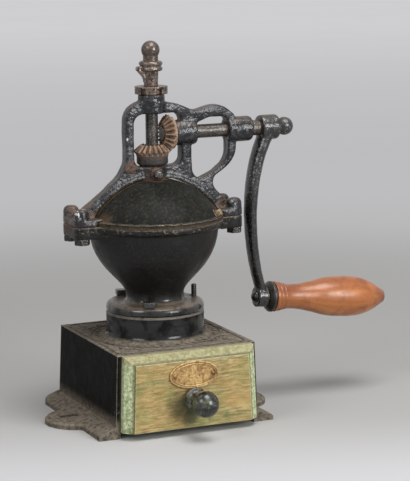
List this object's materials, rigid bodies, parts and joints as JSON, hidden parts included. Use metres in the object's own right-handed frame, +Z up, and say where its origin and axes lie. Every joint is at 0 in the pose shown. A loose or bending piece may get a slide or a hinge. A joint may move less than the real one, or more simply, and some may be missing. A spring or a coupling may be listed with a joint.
{
  "type": "counter spice mill",
  "caption": "Hand-cranked cast counter mill: box with a drawer, bowl hopper under a domed lid, open arch with bevel gears, curved crank with a turned grip.",
  "frame": {"origin": "on the table under the arbor, midway between the two screw slots", "axes": "+Z up along the arbor, -Y out of the drawer's front, +X towards the crank"},
  "size_m": [0.3258, 0.1944, 0.3243],
  "materials": {
    "black_iron": "worn black coat with brown dust on the flats",
    "arm_iron": "worn dark paint, half gloss",
    "rusty_iron": "dull, thin rust",
    "dull_steel": "dull, darkened by handling",
    "burr_iron": "bare, ground edges",
    "bright_steel": "bright, worn",
    "brass": "dull, half bare",
    "green_wood": "pale green stain worn through to yellow wood",
    "plain_wood": "bare, aged",
    "black_knob": "glossy black lacquer",
    "dark_collar": "dark, matt",
    "orange_wood": "turned, old varnish"
  },
  "bodies": {
    "mill": {"base_box": "black_iron", "hopper": "black_iron", "arch_frame": "black_iron", "rear_cover": "black_iron", "burr_ring": "burr_iron", "lower_bridge": "black_iron", "flange_bolts": "dull_steel", "flange_stud": "dull_steel", "ear_bolts": "dull_steel", "bearing_screw": "dull_steel", "bridge_screws": "dull_steel"},
    "crank": {"crank_shaft": "dull_steel", "crank_gear": "rusty_iron", "crank_gear_pin": "rusty_iron", "crank_arm": "arm_iron", "crank_ball_nut": "arm_iron", "grip_spindle": "dull_steel", "spindle_nut": "arm_iron", "grip_ferrule": "dark_collar", "grip_washer": "dull_steel"},
    "arbor": {"arbor": "dull_steel", "arbor_gear": "rusty_iron", "arbor_gear_pin": "rusty_iron", "grinding_cone": "burr_iron", "cone_pin": "dull_steel", "top_collar": "dull_steel", "collar_screw": "dull_steel", "ball_finial": "dull_steel"},
    "handle": {"grip": "orange_wood"},
    "lid": {"front_lid": "black_iron", "lid_stud": "bright_steel"},
    "adjuster": {"adjusting_nut": "dull_steel"},
    "drawer": {"drawer_front": "green_wood", "drawer_left_side": "plain_wood", "drawer_right_side": "plain_wood", "drawer_back": "plain_wood", "drawer_bottom": "plain_wood", "drawer_knob": "black_knob", "knob_screw": "brass", "oval_plate": "brass", "plate_pins": "brass"}
  },
  "joints": [
    {"name": "crank_turn", "type": "hinge", "parent": "mill", "child": "crank", "pos_m": [0.06, 0, 0.2445], "axis": [1, 0, 0], "continuous": true},
    {"name": "arbor_turn", "type": "hinge", "parent": "mill", "child": "arbor", "pos_m": [0, 0, 0.2445], "axis": [0, 0, 1], "continuous": true},
    {"name": "grip_spin", "type": "hinge", "parent": "crank", "child": "handle", "pos_m": [0.1014, 0, 0.0935], "axis": [0.9962, 0, -0.0872], "continuous": true},
    {"name": "lid_turn", "type": "hinge", "parent": "mill", "child": "lid", "pos_m": [0, 0, 0.171], "axis": [0, 0, 1], "range_deg": [-115, 0]},
    {"name": "adjuster_turn", "type": "hinge", "parent": "mill", "child": "adjuster", "pos_m": [0, 0, 0.2795], "axis": [0, 0, 1], "range_deg": [-180, 180]},
    {"name": "drawer_slide", "type": "slide", "parent": "mill", "child": "drawer", "axis": [0, -1, 0], "range_m": [0, 0.1]}
  ],
  "couplings": [
    {"joint": "arbor_turn", "follows": "crank_turn", "ratio": 1}
  ]
}
